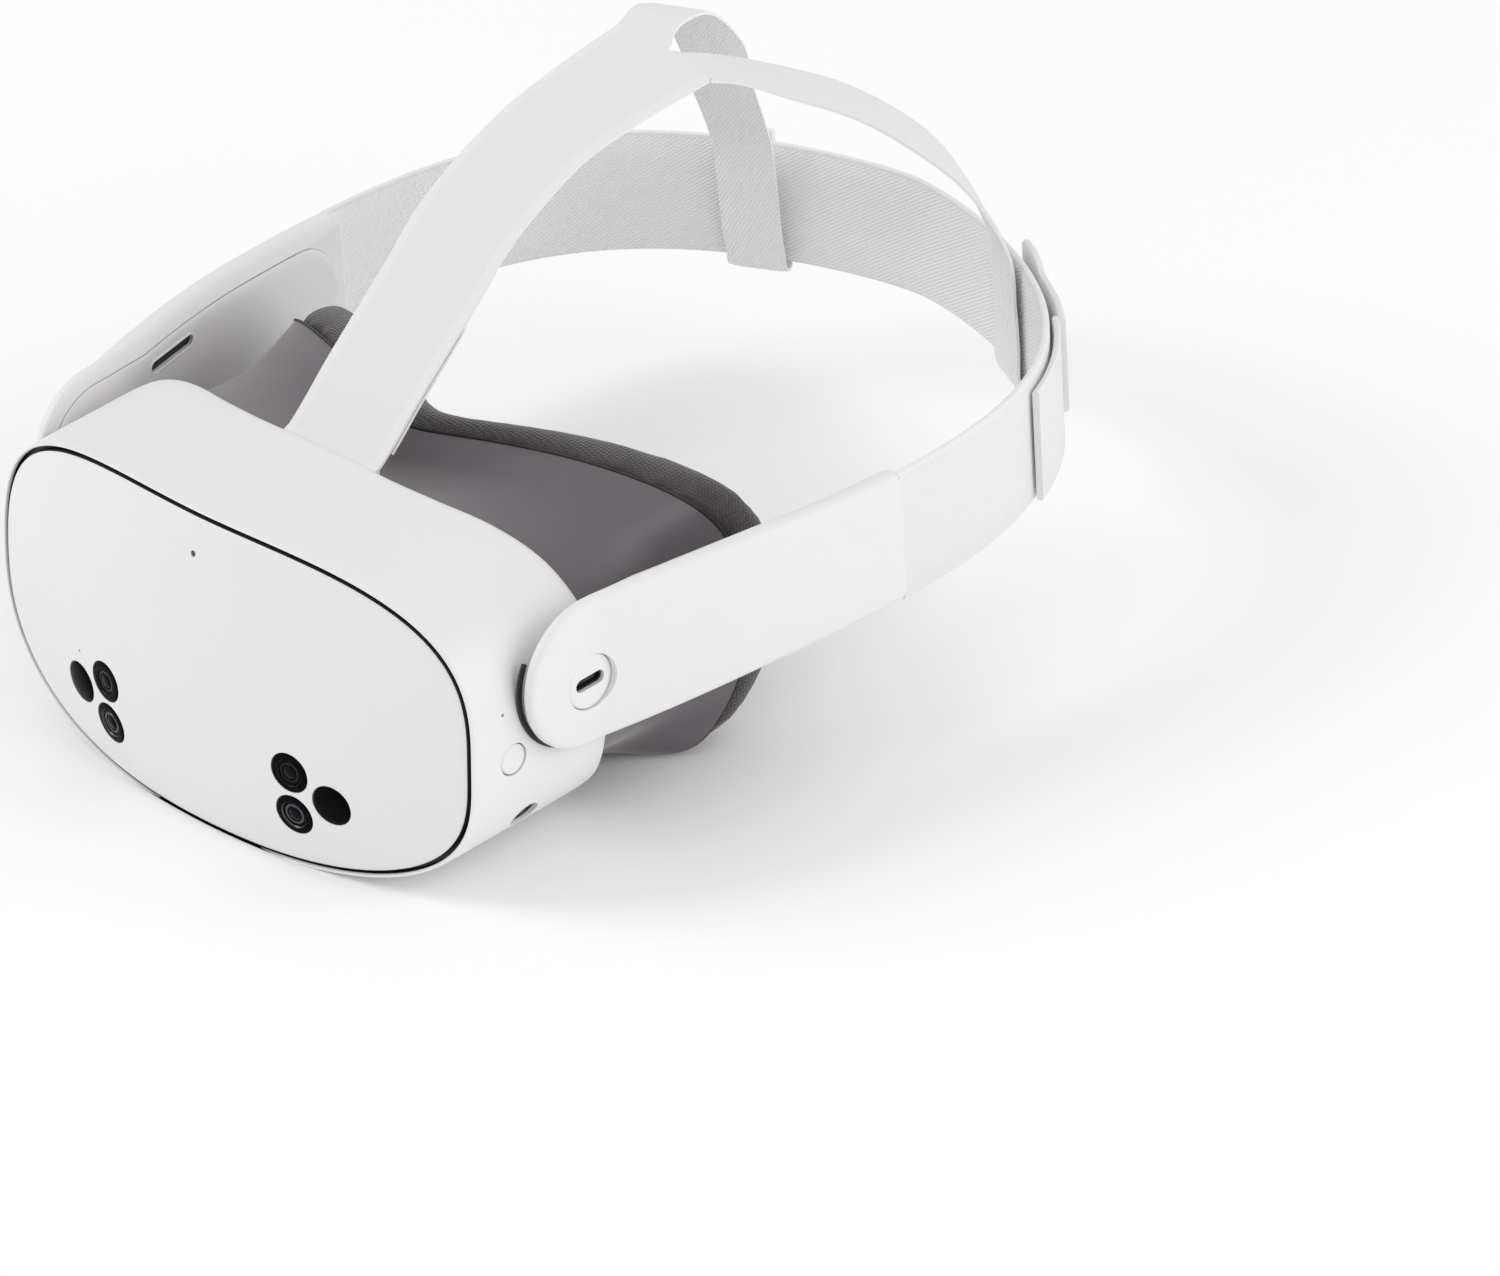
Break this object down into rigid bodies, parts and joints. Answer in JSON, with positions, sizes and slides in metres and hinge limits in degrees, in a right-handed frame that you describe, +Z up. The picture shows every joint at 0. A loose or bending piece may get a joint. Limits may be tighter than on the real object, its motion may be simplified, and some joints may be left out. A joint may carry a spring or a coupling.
{
  "type": "vr headset",
  "caption": "Standalone VR headset: rounded white visor with front camera clusters, grey facial interface, pivoting side arms and a fabric head strap with a forked top strap",
  "frame": {"origin": "on the flat underside of the visor, on the mid-plane, under the outline of the face", "axes": "+X to the wearer's left, +Y towards the back of the head, +Z up"},
  "size_m": [0.2288, 0.2915, 0.1643],
  "materials": {
    "white_shell": "satin white moulded plastic",
    "strap_fabric": "near-white woven elastic with a light grey twill lining",
    "gloss_black": "glossy black camera window",
    "matte_black": "fine matt black moulded plastic",
    "frame_grey": "smooth warm grey moulded frame",
    "cushion_knit": "dark grey knit over foam",
    "bare_metal": "bare steel",
    "circuit_board": "green solder mask",
    "lens_glass": "clear moulded lens"
  },
  "bodies": {
    "visor": {"visor_shell": "white_shell", "faceplate": "white_shell", "faceplate_gasket": "matte_black", "mid_frame": "matte_black", "inner_housing": "frame_grey", "housing_screw_1": "bare_metal", "housing_screw_2": "bare_metal", "housing_screw_3": "bare_metal", "housing_screw_4": "bare_metal", "display_panel": "gloss_black", "heat_spreader": "bare_metal", "mainboard": "circuit_board", "battery": "matte_black", "fan_housing": "matte_black", "ipd_rail": "bare_metal", "status_led": "gloss_black", "usb_c_port": "bare_metal", "top_strap_anchor": "white_shell", "pivot_hub_left": "white_shell", "pivot_hub_right": "white_shell", "upper_camera_left_lens": "gloss_black", "upper_camera_right_lens": "gloss_black", "lower_camera_left_lens": "gloss_black", "lower_camera_right_lens": "gloss_black", "upper_camera_left_module": "matte_black", "upper_camera_right_module": "matte_black", "lower_camera_left_module": "matte_black", "lower_camera_right_module": "matte_black", "infrared_emitter_left": "gloss_black", "infrared_emitter_right": "gloss_black", "side_camera_left": "gloss_black", "side_camera_right": "gloss_black"},
    "head_strap": {"arm_left": "white_shell", "arm_right": "white_shell", "arm_cover_left": "white_shell", "arm_cover_right": "white_shell", "speaker_left": "matte_black", "speaker_right": "matte_black", "back_strap": "strap_fabric", "strap_slider_left": "white_shell", "strap_slider_right": "white_shell", "strap_tail_left": "strap_fabric", "strap_tail_right": "strap_fabric", "top_strap": "strap_fabric", "top_strap_tab": "strap_fabric"},
    "facial_interface": {"facial_frame": "frame_grey", "face_cushion": "cushion_knit"},
    "left_lens": {"lens_barrel_left": "matte_black", "lens_left": "lens_glass"},
    "right_lens": {"lens_barrel_right": "matte_black", "lens_right": "lens_glass"},
    "fan": {"fan_rotor": "matte_black"},
    "power_key": {"power_button": "white_shell"},
    "volume_key": {"volume_rocker": "white_shell"},
    "action_key": {"action_button": "white_shell"}
  },
  "joints": [
    {"name": "strap_tilt", "type": "hinge", "parent": "visor", "child": "head_strap", "pos_m": [0, 0.04, 0.059], "axis": [1, 0, 0], "range_deg": [-15, 20], "deforming": ["top_strap", "top_strap_tab"]},
    {"name": "lens_spacing", "type": "slide", "parent": "visor", "child": "left_lens", "axis": [1, 0, 0], "range_m": [-0.0025, 0.0025]},
    {"name": "lens_spacing_right", "type": "slide", "parent": "visor", "child": "right_lens", "axis": [1, 0, 0], "range_m": [-0.0025, 0.0025]},
    {"name": "interface_pull_off", "type": "slide", "parent": "visor", "child": "facial_interface", "axis": [0, 1, 0], "range_m": [0, 0.03]},
    {"name": "fan_spin", "type": "hinge", "parent": "visor", "child": "fan", "pos_m": [0, -0.0036, 0.027], "axis": [0, 1, 0], "continuous": true},
    {"name": "power_press", "type": "slide", "parent": "visor", "child": "power_key", "axis": [-1, 0, 0], "range_m": [0, 0.0008], "stiffness_N_per_m": 600},
    {"name": "volume_rock", "type": "hinge", "parent": "visor", "child": "volume_key", "pos_m": [0.036, 0.024, 0.0038], "axis": [0, 1, 0], "range_deg": [-2, 2], "stiffness_Nm_per_rad": 0.05},
    {"name": "action_press", "type": "slide", "parent": "visor", "child": "action_key", "axis": [0, 0, 1], "range_m": [0, 0.0008], "stiffness_N_per_m": 600}
  ],
  "couplings": [
    {"joint": "lens_spacing_right", "follows": "lens_spacing", "ratio": -1}
  ]
}
